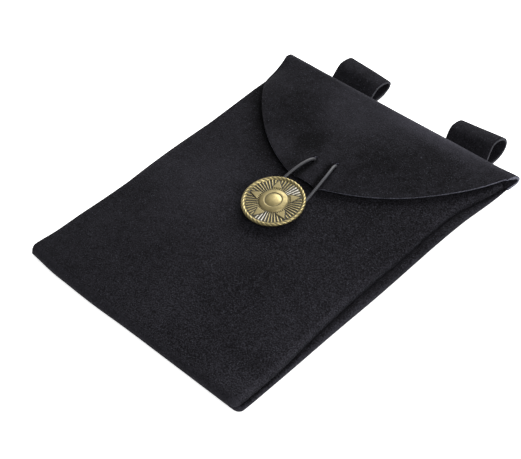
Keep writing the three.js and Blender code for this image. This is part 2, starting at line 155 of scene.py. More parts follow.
table_finish, tree, shader = new_material("white_table")
place = node(tree, "ShaderNodeTexCoord")
grain = node(tree, "ShaderNodeTexNoise", Vector=place.outputs["Object"], Scale=9.0, Detail=3.0)
colour = mix_colour(tree, grain.outputs["Fac"], (0.93, 0.93, 0.935), (0.96, 0.96, 0.96))
tree.links.new(colour, shader.inputs["Base Color"])
shader.inputs["Roughness"].default_value = 0.8
# Painted light: the table glows so that the pouch's shadow on it washes out
shader.inputs["Emission Color"].default_value = (1.0, 1.0, 1.0, 1.0)
shader.inputs["Emission Strength"].default_value = SHADOW_WASHING_GLOW

bm = bmesh.new()
bmesh.ops.create_grid(bm, x_segments=2, y_segments=2, size=TABLE_HALF)
bmesh.ops.translate(bm, vec=(0, 0, -TABLE_DROP), verts=bm.verts)
new_piece("table", bm, table_finish)


# Pocket and flap
# One cut of black suede, 1.4 mm thick, with its nap outside. It is folded at the bottom, sewn inside out up
# both sides and turned, and its upper end folds over the mouth as a flap with a curved raw edge. Sizes in mm.
LENGTH = 165.0
HALF_WIDTH = 65.0
SUEDE = 1.4
CORNER = 4.0
BOTTOM_ROLL = 3.3
MOUTH = 159.0
SEWN_TO = 157.0  # from here up to the fold the sides are left open
FOLD_FROM = 161.0

# Sides: both have a waist, the right one flares to the fold, and the left one flares below and bulges.
# A pair of numbers, here and below, says where a form begins and where it ends, along Y or out along X.
WAIST = 0.8
RIGHT_FLARE = 2.0
RIGHT_FLARES = (135, FOLD_FROM)
LEFT_FLARE = 1.0
LEFT_FLARE_ENDS = (0, 16)
LEFT_BULGE = 2.75
BULGE_AT = 82.0
BULGE_REACH = 35.0
CORNER_RISE = 1.6  # the bottom edge rises at its left corner, and sags left of the middle
CORNER_RISES = (44, 67)
BOTTOM_SAG = 0.45
SAG_AT = -22.0
SAG_REACH = 15.0
WAVE_ENDS = (5, 30)

# Seams: how far inside the back panel's lip the front panel is sewn, at most and at least
SEAM_LEFT = 3.3
SEAM_RIGHT = 4.5
SEAM_LEAST = 1.2
SEAM_POWER = 1.6  # how fast the inset dies away towards both ends
SEAM_DRAWN = 2.7  # the right seam is drawn in by this much more near its upper end
DRAWN_AT = 128.0
DRAWN_REACH = 26.0
SEAM_DEPTH = 0.9
SEAM_GAP = 0.06
ALLOWANCE = 2.6
FRONT_ALLOWANCE = (0.0, 0.33, 0.66, 1.0)  # shares of it, where its points are
BACK_ALLOWANCE = (0.0, 0.5, 1.0)
FRONT_ROLL = 0.38  # the roll, the seam's height and the lip's height are shares of the side's thickness
SEAM_SHARE = 0.45
LIP_LOW = 0.38
LIP_HIGH = 0.6
LIP_GROWS = (SEAM_LEAST, 4.2)  # the lip is low where the inset is least
LEDGE_INSET = 0.45  # shares of the inset and of the lip's radius, from the side in to the ledge
LEDGE_ROLL = 0.6
FRONT_TURN = (72, 48, 24, 0, -25)  # degrees round the front panel's roll and the back panel's lip
BACK_TURN = (-62, -28, 8, 44, 80)

# Heights: the belt straps lift the back's top end, and the front swells most along its middle
STRAP_RAISE = 3.2
STRAP_RAISES = (70, 128)
SIDE_SWELL = 0.5
SIDE_SWELLS = (3, 60)
SIDE_RISE = 2.8
SIDE_RISES = (84, 146)
CROWN = 3.6
CROWN_REACH = 22.0
CROWN_POWER = 2.4
UPPER_RISES = (60, 140)
BUMPS_BEGIN = (BOTTOM_ROLL, 20)  # the front panel is taut below this
RIPPLES = ((0.16, 17, 0.3), (0.07, 7, 4.1))  # height, length and seed
FLAP_RIPPLE_SHIFT = 90.0  # the flap has other ripples than the panel under it

# Soft swells and dents: x, y, reach and rise
FRONT_BUMPS = (
    (-30, 77, 26, 0.5), (28, 50, 26, 0.5), (12, 68, 14, -0.3), (-20, 36, 20, -0.4), (2, 84, 15, -0.5),
)
FLAP_BUMPS = (
    (0, 116, 18, 1.6), (-47, 134, 20, 2.0), (22, 143, 26, 1.1), (45, 138, 16, 0.5), (-16, 123.5, 9, -0.6),
)

# Flap: straight at its tip, with an arc on each side
FLAP_SHIFT = 0.6  # the fold lies this far to the right of the pocket's middle
FLAP_LEFT = 65.8  # half the suede's width at the top fold
FLAP_RIGHT = 66.4
FLAP_TIP = LENGTH - 62.2
FLAP_TIP_HALF = 8.5
LEFT_SIDE = (66.4, 15, 99.6)  # how far out and how far below the top the arc ends, and its radius
RIGHT_SIDE = (65.0, 6, 100.0)
UPTURN = 14.0  # past UPTURN_FROM the left side turns up more, by this over UPTURN_WIDTH
UPTURN_FROM = 60.5
UPTURN_WIDTH = 5.0
EDGE_STOPS = FOLD_FROM - 1.0
FLAP_GAP = 0.5
FLAP_LIES_TO = 150.0  # the flap follows the front panel up to here
FLAP_RISES = (132, FOLD_FROM)  # and rises to the fold's crest
DROOP = 2.4  # its left end hangs over the side
DROOPS = (55, 66)
DROOP_ENDS = (150, 159)
SKIVED = 0.5  # share of the suede's thickness left at the flap's cut edge
SKIVED_OVER = 4.0
CREASE_DEPTH = 1.1
CREASE_WIDTH = 1.5

# Top fold: deeper on the right, with its underside lifted and its crest lower at both ends
FOLD_DEPTH = 4.0
FOLD_SLANT = 1.2
FOLD_SLANTS = (-50, 50)
FOLD_FLARE = 0.9  # deeper again at its right end
FOLD_FLARES = (56, 66)
FOLD_CREST = 13.2
LIFTS = (46, 66)
END_LIFT_LEFT = 2.2
END_LIFT_RIGHT = 2.6
LIFT_FROM_LEFT = 155.5  # the back's sides begin to lift here
LIFT_FROM_RIGHT = 140.0
LIFT_SIDE = 64.0  # and lie this far out
DROPS = (48, 67)
END_DROP_LEFT = 0.4
END_DROP_RIGHT = 0.6
END_FLARE = 1.3  # the fold widens by this at its right end
END_FLARES = (52, 66)
END_SQUARE = 0.65  # power that flattens the underside of the right end
END_SQUARES = (50, 66)

# Columns across the suede from the middle: the flat of a panel, then the roll and the seam allowance
FLAT_COLUMNS = 32
SIDE_COLUMNS = 9
COLUMNS = FLAT_COLUMNS + SIDE_COLUMNS
FLAT_SHARE = 58.0 / 66.4  # share of the width that the flat columns take on the flap
SEWN_SHARE = 0.98  # and where the fold meets the sewn back
MIDDLE_PITCH = 0.55  # pitch of the columns at the middle, as a share of the average


def smooth(value, start, end):
    share = min(max((value - start) / (end - start), 0.0), 1.0)
    return share * share * (3 - 2 * share)


def bell(value, centre, reach):
    return math.exp(-(((value - centre) / reach) ** 2))


def mixed(first, second, share):
    return first + (second - first) * share


def swell(x, y, bumps):
    return sum(
        rise * math.exp(-((x - at_x) ** 2 + (y - at_y) ** 2) / reach**2) for at_x, at_y, reach, rise in bumps
    )


def half_width(y, right):
    short = max(CORNER - y, 0.0)
    if right:
        flare = RIGHT_FLARE * smooth(y, *RIGHT_FLARES)
    else:
        flare = LEFT_FLARE * (1 - smooth(y, *LEFT_FLARE_ENDS)) + LEFT_BULGE * bell(y, BULGE_AT, BULGE_REACH)
    waist = WAIST * math.sin(math.pi * y / LENGTH)
    return HALF_WIDTH + flare - waist - CORNER + math.sqrt(CORNER**2 - short**2)


def bottom_wave(x, y):
    wave = CORNER_RISE * smooth(-x, *CORNER_RISES) - BOTTOM_SAG * bell(x, SAG_AT, SAG_REACH)
    return wave * (1 - smooth(y, *WAVE_ENDS))


def back_height(y):
    return STRAP_RAISE * smooth(y, *STRAP_RAISES)


def side_height(y):
    return 2 * BOTTOM_ROLL + SIDE_SWELL * smooth(y, *SIDE_SWELLS) + SIDE_RISE * smooth(y, *SIDE_RISES)


def middle_height(y):
    swollen = CROWN * (1 - math.exp((BOTTOM_ROLL - y) / CROWN_REACH))
    return 2 * BOTTOM_ROLL + swollen + smooth(y, *UPPER_RISES)


def ripple(x, y):
    return sum(height * noise.noise((x / length, y / length, seed)) for height, length, seed in RIPPLES)


def front_height(x, y, flat_half):
    share = min(abs(x) / flat_half, 1.0)
    crown = (middle_height(y) - side_height(y)) * (1 - share**CROWN_POWER)
    soft = (1 - share**2) * smooth(y, *BUMPS_BEGIN) * (swell(x, y, FRONT_BUMPS) + ripple(x, y))
    return side_height(y) + crown + soft


def turned(x, z, radius, *degrees):
    turns = [math.radians(angle) for angle in degrees]
    return [(x + radius * math.cos(turn), z + radius * math.sin(turn)) for turn in turns]


def seam_inset(y, most):
    return most * math.sin(math.pi * y / LENGTH) ** SEAM_POWER


# Sizes of one side of a section of the pocket, which is less than full in the bottom fold
def section(right, y, low, high):
    thick = high - low
    full = min(thick / (2 * BOTTOM_ROLL), 1.0)
    half = half_width(y, right)
    drawn = SEAM_DRAWN * bell(y, DRAWN_AT, DRAWN_REACH) if right else 0.0
    inset = full * (max(seam_inset(y, SEAM_RIGHT if right else SEAM_LEFT), SEAM_LEAST) + drawn)
    seam = low + SEAM_SHARE * thick
    groove = half - inset - full * SEAM_DEPTH
    return half, inset, seam, groove, thick, full


# The end of a panel's flat, and the nine points outside it: roll or lip, seam and allowance
def front_side(right, y, low, high):
    half, inset, seam, groove, thick, full = section(right, y, low, high)
    roll = FRONT_ROLL * thick
    flat = half - inset - roll
    points = turned(flat, high - roll, roll, *FRONT_TURN)
    for step in FRONT_ALLOWANCE:
        points.append((groove - step * full * ALLOWANCE, seam + full * SEAM_GAP))
    return flat, points


def back_side(right, y, low, high):
    half, inset, seam, groove, thick, full = section(right, y, low, high)
    lip = 0.5 * thick * mixed(LIP_LOW, LIP_HIGH, smooth(inset, *LIP_GROWS))
    flat = half - lip
    points = turned(flat, low + lip, lip, *BACK_TURN)
    points.append((half - LEDGE_INSET * inset - LEDGE_ROLL * lip, low + 2 * lip))
    for step in BACK_ALLOWANCE:
        points.append((groove - step * full * ALLOWANCE, seam - full * SEAM_GAP))
    return flat, points


# Which side a column is on, its share of the flat, and how many columns it lies past the flat
def across(column):
    out = abs(column)
    share = min(out / FLAT_COLUMNS, 1.0)
    return column > 0, share * mixed(MIDDLE_PITCH, 1.0, share), max(out - FLAT_COLUMNS, 0)


def panel_point(column, y, side, height):
    right, share, past = across(column)
    flat, points = side(right)
    x, z = points[past - 1] if past else (share * flat, None)
    x = x if right else -x
    return Vector((x, y, height(x, flat) if z is None else z))


def flap_x(column, flat_share=FLAT_SHARE):
    right, share, past = across(column)
    out = (FLAP_RIGHT if right else FLAP_LEFT) * mixed(flat_share * share, 1.0, past / SIDE_COLUMNS)
    return FLAP_SHIFT + (out if right else -out)


def fold_lift(x):
    return (END_LIFT_RIGHT if x > 0 else END_LIFT_LEFT) * smooth(abs(x), *LIFTS)


def fold_crest(x):
    return FOLD_CREST - (END_DROP_RIGHT if x > 0 else END_DROP_LEFT) * smooth(abs(x), *DROPS)


# Lower edge of the flap: straight at the tip, an arc of its own on each side up to the fold's ends
def flap_edge(x):
    left = x < FLAP_SHIFT
    half, below, arc = LEFT_SIDE if left else RIGHT_SIDE
    out = abs(x - FLAP_SHIFT)
    if out <= FLAP_TIP_HALF:
        return FLAP_TIP
    corner = LENGTH - below
    chord = Vector((half - FLAP_TIP_HALF, corner - FLAP_TIP))
    middle = Vector((half + FLAP_TIP_HALF, corner + FLAP_TIP)) / 2
    inwards = Vector((-chord.y, chord.x)).normalized()
    centre = middle + inwards * math.sqrt(arc**2 - chord.length_squared / 4)
    on_arc = centre.y - math.sqrt(arc**2 - (out - centre.x) ** 2)
    upturn = UPTURN * (max(out - UPTURN_FROM, 0.0) / UPTURN_WIDTH) ** 2 if left else 0.0
    return min(on_arc + upturn, EDGE_STOPS)


# The cord presses a crease into the flap along each strand
CREASES = (
    (Vector((-3.8, 101.5)), Vector((-2.7, 113.5))),
    (Vector((8.7, 101.5)), Vector((5.9, 116.0))),
)


def crease(x, y):
    at = Vector((x, y))
    near = 0.0
    for start, end in CREASES:
        run = end - start
        share = min(max((at - start).dot(run) / run.length_squared, 0.0), 1.0)
        near = max(near, bell((at - start - run * share).length, 0.0, CREASE_WIDTH))
    return near


def flap_point(column, share):
    x = flap_x(column)
    y = mixed(flap_edge(x), FOLD_FROM, share)
    under = min(y, FLAP_LIES_TO)
    flat = half_width(under, True) - seam_inset(under, SEAM_RIGHT) - BOTTOM_ROLL
    lying = front_height(x, under, flat) + FLAP_GAP + SUEDE
    lying += swell(x, y, FLAP_BUMPS) + ripple(x + FLAP_RIPPLE_SHIFT, y)
    droop = DROOP * smooth(-x, *DROOPS) * (1 - smooth(y, *DROOP_ENDS))
    height = mixed(lying, fold_crest(x), smooth(y, *FLAP_RISES)) - droop
    return Vector((x, y, height - CREASE_DEPTH * crease(x, y)))


def fold_depth(x):
    return FOLD_DEPTH + FOLD_SLANT * smooth(x, *FOLD_SLANTS) + FOLD_FLARE * smooth(x, *FOLD_FLARES)


def end_lift(x, y):
    start = LIFT_FROM_RIGHT if x > 0 else LIFT_FROM_LEFT
    return back_height(y) + fold_lift(x) * smooth(y, start, FOLD_FROM)


def side_low(right, y):
    return end_lift(LIFT_SIDE if right else -LIFT_SIDE, y)


def back_point(column, y):
    high = side_height(y)
    sewn = panel_point(
        column, y, lambda right: back_side(right, y, side_low(right, y), high),
        lambda x, flat: end_lift(x, y),
    )
    x = flap_x(column, SEWN_SHARE)
    opened = Vector((x, y, end_lift(x, y)))
    return sewn.lerp(opened, smooth(y, SEWN_TO, FOLD_FROM))


# The fold is round, with a flatter underside at its right end
def fold_point(column, turn):
    x = flap_x(column, mixed(SEWN_SHARE, FLAT_SHARE, smooth(turn, 0, math.pi)))
    low = STRAP_RAISE + fold_lift(x)
    rise = (fold_crest(x) - low) / 2
    round_off = mixed(1.0, END_SQUARE, smooth(x, *END_SQUARES)) if turn < math.pi / 2 else 1.0
    y = FOLD_FROM + fold_depth(x) * math.sin(turn) ** round_off
    wider = END_FLARE * smooth(x, *END_FLARES) * math.sin(turn)
    return Vector((x + wider, y, low + rise - rise * math.cos(turn)))


def bottom_point(column, turn):
    y = BOTTOM_ROLL * (1 - math.cos(turn))
    rise = BOTTOM_ROLL * abs(math.sin(turn))
    low, high = BOTTOM_ROLL - rise, BOTTOM_ROLL + rise
    if turn < 0:
        return panel_point(column, y, lambda right: back_side(right, y, low, high), lambda x, flat: low)
    return panel_point(column, y, lambda right: front_side(right, y, low, high), lambda x, flat: high)


def front_point(column, y):
    high = side_height(y)
    return panel_point(
        column, y, lambda right: front_side(right, y, side_low(right, y), high),
        lambda x, flat: front_height(x, y, flat),
    )


def evenly(start, end, count, ends=True):
    steps = count - 1 if ends else count + 1
    return [mixed(start, end, (i if ends else i + 1) / steps) for i in range(count)]


# Rows of the cut from the flap's edge over the fold, down the back, round the bottom and up the front
FLAP_ROWS = 40
FLAP_ROW_POWER = 1.15  # rows are closer together at the flap's cut edge
FOLD_ROWS = 9
OPEN_ROWS = 8
UPPER_ROWS = (155.5, 150.0, 3)  # first and last place along Y, and how many
BACK_ROWS = (144.0, BOTTOM_ROLL, 21)
BOTTOM_TURNS = (-75, -50, -28, -9, 9, 28, 50, 75)  # degrees round the bottom fold
FRONT_ROWS = 52

rows = [(flap_point, share**FLAP_ROW_POWER) for share in evenly(0, 1, FLAP_ROWS)]
rows += [(fold_point, turn) for turn in evenly(math.pi, 0, FOLD_ROWS, ends=False)]
rows += [(back_point, y) for y in evenly(FOLD_FROM, SEWN_TO, OPEN_ROWS)]
rows += [(back_point, y) for y in evenly(*UPPER_ROWS)]
rows += [(back_point, y) for y in evenly(*BACK_ROWS)]
rows += [(bottom_point, math.radians(turn)) for turn in BOTTOM_TURNS]
rows += [(front_point, y) for y in evenly(BOTTOM_ROLL, MOUTH, FRONT_ROWS)]

# Where the nap is brushed light or dark, with painted shade in the flap's dent and by its tip, and painted
# highlight near the top fold and along the front panel's right edge: x, y, reach and strength
FLAP_NAP_AND_LIGHT = (
    (-13, 122.5, 7, -0.75), (-25, 130, 10, -0.25), (-38, 140, 13, -0.22), (-24, 114, 8, 0.22),
    (-12, 148, 14, 0.32), (12, 155, 16, 0.25), (16, 135, 13, -0.3), (30, 147, 15, -0.22),
    (43, 139, 13, -0.12), (49, 160, 10, 0.2), (-24, 158, 10, 0.25), (-10, 108, 6, -0.25), (0, 120, 7, 0.12),
)
# Brushed nap tones, with painted highlight on the right edge and bottom right corner
FRONT_NAP_AND_LIGHT = (
    (-35, 75, 20, 0.36), (-9, 57, 16, 0.14), (-16, 32, 14, -0.06), (25, 52, 12, -0.12),
    (36, 104, 16, -0.16), (54, 5, 10, 0.25), (54, 40, 14, 0.16), (4, 16, 16, 0.18),
    (62, 10, 8, 0.25), (58, 64, 12, 0.15), (-52, 58, 10, -0.15),
)
# Painted shade in the creases that the cord presses into the flap
CREASE_SHADE = 1.4
CREST_HIGHLIGHT = 1.1  # painted highlight on the fold's crest, right of the middle
CREST_AT = 25.0
CREST_REACH = 25.0
CREST_LIGHTENS = (153, FOLD_FROM)
# Painted highlight over the whole top fold
FOLD_HIGHLIGHT = 0.35
ROLL_HIGHLIGHT = 0.35  # painted highlight on the front panel's right roll too, a little less further up
ROLL_COLUMNS = 3
ROLL_FADE = 0.15
ROLL_FADES = (20, 110)
FLAP_EDGE_SHADOW = 0.45  # painted shadow of the flap's left edge on the front panel beside it
EDGE_REACH = 9.0
EDGE_DARKENS = (0, 30)
# Painted shade in the seam's groove, on the front panel's allowance
SEAM_SHADE = 0.15
BOTTOM_NAP = 0.25
NUB_HIGHLIGHT = 0.5  # painted highlight on the bottom fold's right end
NUB_LIGHTENS = (57, 62)
LIP_LIGHT_AND_SHADE = (0.0, 0.9, 0.9, 0.9, 0.5, 0.0, -0.3, 0.0, 0.0, 0.0)  # painted highlight on the back panel's lip and painted shade at its ledge, by column, from the flat to the allowance
LIP_FADE = 0.5  # the lip's painted highlight is strongest at both ends
LIP_FADES = (30, 125)
LIP_RETURN = 0.4
LIP_RETURNS = (125, 150)

# How far the fibres stand up, which makes the grain: more on the right
STANDS_MORE = (-50, 30)
FLAP_STAND = 0.55
FLAP_STAND_MORE = 0.35
FRONT_STAND = 0.8
BACK_STAND = 1.4
BOTTOM_THIN = 0.3  # the suede is pressed thin at the ends of the bottom fold

bm = bmesh.new()
bmesh.ops.create_grid(bm, x_segments=2 * COLUMNS, y_segments=len(rows) - 1, size=1.0)
nap_and_painted_light = bm.verts.layers.float.new("nap_and_light")
standing = bm.verts.layers.float.new("grain")
thinning = bm.verts.layers.deform.verify()
flap_verts = []
front_verts = []
for vert in bm.verts:
    column = round(vert.co.x * COLUMNS)
    row = round((vert.co.y + 1) / 2 * (len(rows) - 1))
    place_on_row, value = rows[row]
    vert.co = place_on_row(column, value)
    vert.co.y += bottom_wave(vert.co.x, vert.co.y)
    past = across(column)[2]
    x, y = vert.co.x, vert.co.y
    crest_highlight = CREST_HIGHLIGHT * bell(x, CREST_AT, CREST_REACH)
    vert[thinning][0] = 1.0
    vert[standing] = FLAP_STAND + FLAP_STAND_MORE * smooth(x, *STANDS_MORE)
    if place_on_row is flap_point:
        flap_verts.append(vert)
        # Painted highlight on the flap where it rises to the fold's crest
        flap_crest_highlight = crest_highlight * smooth(y, *CREST_LIGHTENS)
        # Brushed nap with painted shade in the dent and by the tip, painted highlight near the fold, and
        # painted shade in the cord's creases
        vert[nap_and_painted_light] = swell(x, y, FLAP_NAP_AND_LIGHT) - CREASE_SHADE * crease(x, y) + flap_crest_highlight
        vert[thinning][0] = mixed(SKIVED, 1.0, smooth(y - flap_edge(x), 0, SKIVED_OVER))
    elif place_on_row is fold_point:
        # Painted highlight on the top fold, strongest on its crest right of the middle
        vert[nap_and_painted_light] = FOLD_HIGHLIGHT + crest_highlight
    elif place_on_row is front_point:
        front_verts.append(vert)
        on_right_roll = 0 < past <= ROLL_COLUMNS and x > 0
        # Painted highlight on the front panel's right roll
        painted_highlight = ROLL_HIGHLIGHT - ROLL_FADE * smooth(y, *ROLL_FADES) if on_right_roll else 0.0
        # Painted shadow cast by the flap's left edge onto the front panel
        flap_edge_shadow = FLAP_EDGE_SHADOW * bell(flap_edge(x), y, EDGE_REACH) * smooth(-x, *EDGE_DARKENS)
        # Painted shade in the seam's groove
        seam_shade = SEAM_SHADE if past > ROLL_COLUMNS else 0.0
        # Brushed nap with painted highlight on the right, less the painted shadow of the flap and the painted
        # shade in the seam
        vert[nap_and_painted_light] = swell(x, y, FRONT_NAP_AND_LIGHT) + painted_highlight - flap_edge_shadow - seam_shade
        vert[standing] = FRONT_STAND + smooth(x, *STANDS_MORE)
    elif place_on_row is bottom_point:
        # Painted highlight at the bottom fold's right end
        vert[nap_and_painted_light] = BOTTOM_NAP + NUB_HIGHLIGHT * smooth(x, *NUB_LIGHTENS)
        vert[thinning][0] = BOTTOM_THIN if past else 1.0
    else:
        # Painted highlight on the back panel's lip, painted shade at its ledge by the seam
        fade = LIP_FADE * smooth(y, *LIP_FADES) - LIP_RETURN * smooth(y, *LIP_RETURNS)
        vert[nap_and_painted_light] = LIP_LIGHT_AND_SHADE[past] * (1 - fade)
        vert[standing] = BACK_STAND

CORD_HOLES = ((-3.5, 115.1), (6.65, 117.8))
CORD_HOLE_HALF = (0.8, 1.7)
POST_HOLE = (2.3, 84.1)
POST_HOLE_HALF = (2.3, 2.3)


# A punched hole: the nearest point of the cut goes, and the points round it move to the hole's edge
def punch(verts, at, half):
    centre = min(verts, key=lambda v: (v.co.x - at[0]) ** 2 + (v.co.y - at[1]) ** 2)
    ring = {v for face in centre.link_faces for v in face.verts if v is not centre}
    middle = centre.co.copy()
    for vert in ring:
        turn = math.atan2(vert.co.y - middle.y, vert.co.x - middle.x)
        vert.co.x = at[0] + half[0] * math.cos(turn)
        vert.co.y = at[1] + half[1] * math.sin(turn)
    verts.remove(centre)
    bmesh.ops.delete(bm, geom=[centre], context="VERTS")


for hole in CORD_HOLES:
    punch(flap_verts, hole, CORD_HOLE_HALF)
punch(front_verts, POST_HOLE, POST_HOLE_HALF)
bmesh.ops.scale(bm, vec=(MM, MM, MM), verts=bm.verts)
bmesh.ops.translate(bm, vec=POUCH, verts=bm.verts)


def weigh(tree, value, weight, added):
    made = tree.nodes.new("ShaderNodeMath")
    made.operation = "MULTIPLY_ADD"
    for term, socket in zip((value, weight, added), made.inputs):
        if isinstance(term, bpy.types.NodeSocket):
            tree.links.new(term, socket)
        else:
            socket.default_value = term
    return made.outputs[0]


# The nap: fine fibres on longer strokes and broad patches, brushed light or dark, with a few bright specks.
# Its per-point share also carries painted highlight and painted shade.
FIBRE_CONTRAST = 3.0
PILE_LEVEL = -0.2
STROKE_WEIGHT = 0.7
PATCH_WEIGHT = 0.5
LIGHT_WEIGHT = 0.5
nap_and_light = bpy.data.node_groups.new("suede_nap_and_light", "ShaderNodeTree")
for name in ("Deep", "Brushed", "Glint"):
    nap_and_light.interface.new_socket(name, in_out="INPUT", socket_type="NodeSocketColor")
nap_and_light.interface.new_socket("Colour", in_out="OUTPUT", socket_type="NodeSocketColor")
nap_and_light.interface.new_socket("Height", in_out="OUTPUT", socket_type="NodeSocketFloat")
given = node(nap_and_light, "NodeGroupInput")
shown = node(nap_and_light, "NodeGroupOutput")
place = node(nap_and_light, "ShaderNodeTexCoord").outputs["Object"]
nap_and_painted_light = node(nap_and_light, "ShaderNodeAttribute", attribute_name="nap_and_light").outputs["Fac"]
standing = node(nap_and_light, "ShaderNodeAttribute", attribute_name="grain").outputs["Fac"]
patches = node(
    nap_and_light, "ShaderNodeTexNoise", Vector=place, Scale=75.0, Detail=4.0, Roughness=0.55, Distortion=0.5
)
strokes = node(nap_and_light, "ShaderNodeTexNoise", Vector=place, Scale=330.0, Detail=3.0, Roughness=0.6)
fibres = node(nap_and_light, "ShaderNodeTexNoise", Vector=place, Scale=1500.0, Detail=3.0, Roughness=0.75)
specks = node(nap_and_light, "ShaderNodeTexNoise", Vector=place, Scale=2300.0, Detail=1.0)
fibre_light = weigh(nap_and_light, fibres.outputs["Fac"], FIBRE_CONTRAST, -FIBRE_CONTRAST / 2)
stand = weigh(nap_and_light, fibre_light, standing, PILE_LEVEL)
pile = weigh(nap_and_light, strokes.outputs["Fac"], STROKE_WEIGHT, stand)
lie = weigh(nap_and_light, patches.outputs["Fac"], PATCH_WEIGHT, weigh(nap_and_light, nap_and_painted_light, 1.0, pile))
lightness = weigh(nap_and_light, lie, LIGHT_WEIGHT, 0.0)
brushed = mix_colour(nap_and_light, lightness, given.outputs["Deep"], given.outputs["Brushed"])
sparkle = node(nap_and_light, "ShaderNodeMapRange", From_Min=0.65, From_Max=0.8)
nap_and_light.links.new(specks.outputs["Fac"], sparkle.inputs["Value"])
speckled = mix_colour(nap_and_light, sparkle.outputs["Result"], brushed, given.outputs["Glint"])
nap_and_light.links.new(speckled, shown.inputs["Colour"])
nap_and_light.links.new(pile, shown.inputs["Height"])


def suede_finish(name, deep, brushed, glint, sheen):
    made, tree, shader = new_material(name)
    group = node(tree, "ShaderNodeGroup", node_tree=nap_and_light)
    for socket, value in zip(("Deep", "Brushed", "Glint"), (deep, brushed, glint)):
        group.inputs[socket].default_value = (*value, 1.0)
    tree.links.new(group.outputs["Colour"], shader.inputs["Base Color"])
    bump = node(tree, "ShaderNodeBump", Strength=0.55, Distance=0.0004)
    tree.links.new(group.outputs["Height"], bump.inputs["Height"])
    tree.links.new(bump.outputs["Normal"], shader.inputs["Normal"])
    shader.inputs["Roughness"].default_value = 0.92
    shader.inputs["Specular IOR Level"].default_value = 0.05
    shader.inputs["Sheen Weight"].default_value = sheen
    shader.inputs["Sheen Roughness"].default_value = 0.45
    shader.inputs["Sheen Tint"].default_value = (0.72, 0.72, 0.85, 1.0)
    return made


suede = suede_finish(
    "black_suede", deep=(0.0012, 0.0011, 0.0014), brushed=(0.0324, 0.0314, 0.0395),
    glint=(0.055, 0.058, 0.072), sheen=0.02,
)
raw_edge = suede_finish(
    "raw_suede_edge", deep=(0.02, 0.02, 0.025), brushed=(0.185, 0.19, 0.24),
    glint=(0.2, 0.2, 0.25), sheen=0.05,
)


# The second material is the cut edge's
def thicken(piece, thickness, offset):
    wall = piece.modifiers.new("suede_thickness", "SOLIDIFY")
    wall.thickness = thickness * MM
    wall.offset = offset
    wall.use_rim = True
    wall.material_offset_rim = 1
    wall.edge_crease_outer = 0.6
    wall.edge_crease_inner = 0.6
    wall.vertex_group = piece.vertex_groups.new(name="thickness").name
    soft = piece.modifiers.new("soft_surface", "SUBSURF")
    soft.levels = 1
    soft.render_levels = 1


pouch = new_piece("pouch_suede", bm, suede, raw_edge)
thicken(pouch, SUEDE, -1.0)
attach(pouch, "root")
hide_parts("front_panel", "back_panel", "flap")


# Belt loops
# Two straps of the same suede, each doubled and sewn flat behind the top end of the back panel. The bight
# that sticks out above the fold takes the belt. It stands open because the strap is stiff.
STRAP = 1.3
STRAP_WIDTH = 23.4
STRAP_COLUMNS = 10
STRAP_MIDDLES = (-33.0, 36.5)
STRAP_TOPS = (8.8, 10.4)
# Places along Y: its sewn ends, where its lower run turns up, its crown, and where it lands again
STRAP_SEWN = 128.0
STRAP_LIES = 175.0
STRAP_CROWN = 177.0
STRAP_LANDS = 165.0
TURN_HANDLES = (185.6, 187.6)  # the bight's turn, from the lower run up to the crown
FALL_HANDLES = (173.0, 171.0)  # and its fall from the crown to the upper run
STRAP_LOW = STRAP / 2
STRAP_HIGH = STRAP_LOW + STRAP + 0.3
STITCH_ROOM = 0.25  # the sewn end is drawn up by this
STITCH_ROOM_ENDS = (148, 156)
UNDER_STEPS = 18
TURN_STEPS = 16
FALL_STEPS = 14
OVER_STEPS = 12
STRAP_FREE = (152, 176)
STRAP_WAVE = 0.12
STRAP_NAP = -0.02
STRAP_STAND = 0.4


# The strap's line from its lower sewn end round the bight to the upper one, as places along Y and heights
def strap_line(top):
    crown = top - STRAP / 2
    turn = interpolate_bezier(
        (STRAP_LIES, STRAP_LOW), (TURN_HANDLES[0], STRAP_LOW), (TURN_HANDLES[1], crown),
        (STRAP_CROWN, crown), TURN_STEPS,
    )
    fall = interpolate_bezier(
        (STRAP_CROWN, crown), (FALL_HANDLES[0], crown), (FALL_HANDLES[1], STRAP_HIGH),
        (STRAP_LANDS, STRAP_HIGH), FALL_STEPS,
    )
    under = []
    for y in evenly(STRAP_SEWN, STRAP_LIES, UNDER_STEPS):
        under.append(Vector((y, STRAP_LOW + STITCH_ROOM * (1 - smooth(y, *STITCH_ROOM_ENDS)))))
    over = [Vector((y, STRAP_HIGH)) for y in evenly(STRAP_LANDS, STRAP_SEWN, OVER_STEPS)]
    return under + turn[1:] + fall[1:] + over[1:]


strap_edge = suede_finish(
    "strap_edge", deep=(0.012, 0.012, 0.014), brushed=(0.10, 0.10, 0.115),
    glint=(0.11, 0.11, 0.125), sheen=0.03,
)


